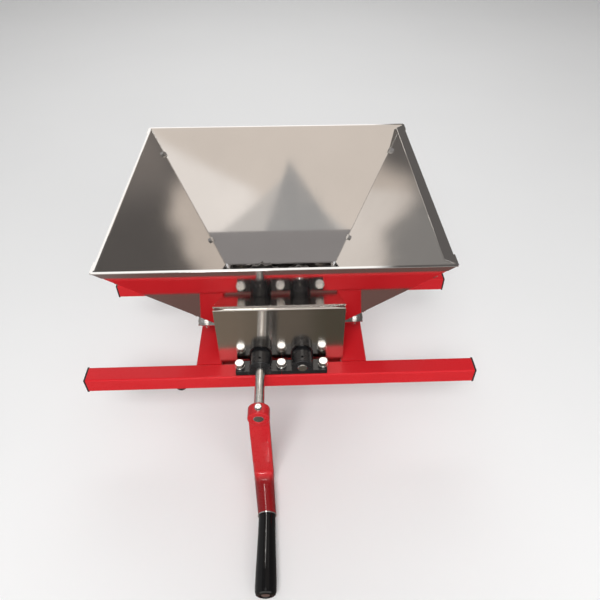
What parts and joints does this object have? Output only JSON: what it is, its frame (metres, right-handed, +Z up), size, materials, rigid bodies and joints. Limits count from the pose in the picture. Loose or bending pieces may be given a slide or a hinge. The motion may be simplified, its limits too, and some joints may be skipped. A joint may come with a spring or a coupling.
{
  "type": "apple scratter",
  "caption": "Hand cranked fruit mill: sheet steel hopper over geared toothed rotors on a red tube frame that lies across a bucket or barrel.",
  "frame": {"origin": "middle of the front rail's underside, the face that lies on the rim of the bucket", "axes": "+X to the right seen from the crank side, +Y from the crank side to the back along the shafts, +Z up"},
  "size_m": [0.452, 0.4458, 0.3154],
  "materials": {
    "red_paint": "glossy red powder coat",
    "cap_plastic": "black moulded plastic",
    "stop_rubber": "black rubber",
    "hopper_sheet": "mirror polished stainless sheet",
    "mill_sheet": "polished stainless sheet",
    "guard_sheet": "mirror polished stainless sheet",
    "fastener": "bright zinc plated steel",
    "block_nylon": "glossy black moulded nylon",
    "shaft_steel": "turned steel",
    "rotor_steel": "cut stainless plate",
    "spacer_steel": "turned steel",
    "gear_steel": "cut steel",
    "crank_paint": "glossy red paint",
    "grip_plastic": "glossy black moulded plastic"
  },
  "bodies": {
    "frame": {"front_rail": "red_paint", "rear_rail": "red_paint", "left_cross_tube": "red_paint", "right_cross_tube": "red_paint", "rail_end_caps": "cap_plastic", "rubber_feet": "stop_rubber", "mill_front_plate": "mill_sheet", "mill_rear_plate": "mill_sheet", "mill_left_plate": "mill_sheet", "mill_right_plate": "mill_sheet", "left_guide_plate": "mill_sheet", "right_guide_plate": "mill_sheet", "mill_box_screws": "fastener", "mill_box_nuts": "fastener", "hopper_front_wall": "hopper_sheet", "hopper_back_wall": "hopper_sheet", "hopper_left_wall": "hopper_sheet", "hopper_right_wall": "hopper_sheet", "hopper_seam_screws": "fastener", "hopper_seam_nuts": "fastener", "hopper_flange_bolts": "fastener", "hopper_flange_washers": "fastener", "hopper_flange_nuts": "fastener", "gear_guard": "guard_sheet", "guard_screws": "fastener", "guard_nuts": "fastener", "front_left_bearing_block": "block_nylon", "front_right_bearing_block": "block_nylon", "rear_left_bearing_block": "block_nylon", "rear_right_bearing_block": "block_nylon", "front_bearing_bolts": "fastener", "front_bearing_washers": "fastener", "front_bearing_nuts": "fastener", "rear_bearing_bolts": "fastener", "rear_bearing_washers": "fastener", "rear_bearing_nuts": "fastener"},
    "drive": {"drive_shaft": "shaft_steel", "drive_rotor_discs": "rotor_steel", "drive_rotor_spacers": "spacer_steel", "drive_gear": "gear_steel", "drive_gear_pin": "fastener", "crank_arm": "crank_paint", "crank_set_screw": "fastener", "handle_spindle": "fastener", "handle_washer": "fastener"},
    "driven": {"driven_shaft": "shaft_steel", "driven_rotor_discs": "rotor_steel", "driven_rotor_spacers": "spacer_steel", "driven_gear": "gear_steel", "driven_gear_pin": "fastener"},
    "grip": {"handle_grip": "grip_plastic"}
  },
  "joints": [
    {"name": "drive_spin", "type": "hinge", "parent": "frame", "child": "drive", "pos_m": [-0.024, 0, 0.0305], "axis": [0, 1, 0], "continuous": true},
    {"name": "driven_spin", "type": "hinge", "parent": "frame", "child": "driven", "pos_m": [0.024, 0, 0.0305], "axis": [0, 1, 0], "continuous": true},
    {"name": "grip_spin", "type": "hinge", "parent": "drive", "child": "grip", "pos_m": [-0.0204, -0.159, -0.0995], "axis": [0, 1, 0], "continuous": true}
  ],
  "couplings": [
    {"joint": "driven_spin", "follows": "drive_spin", "ratio": -1}
  ]
}
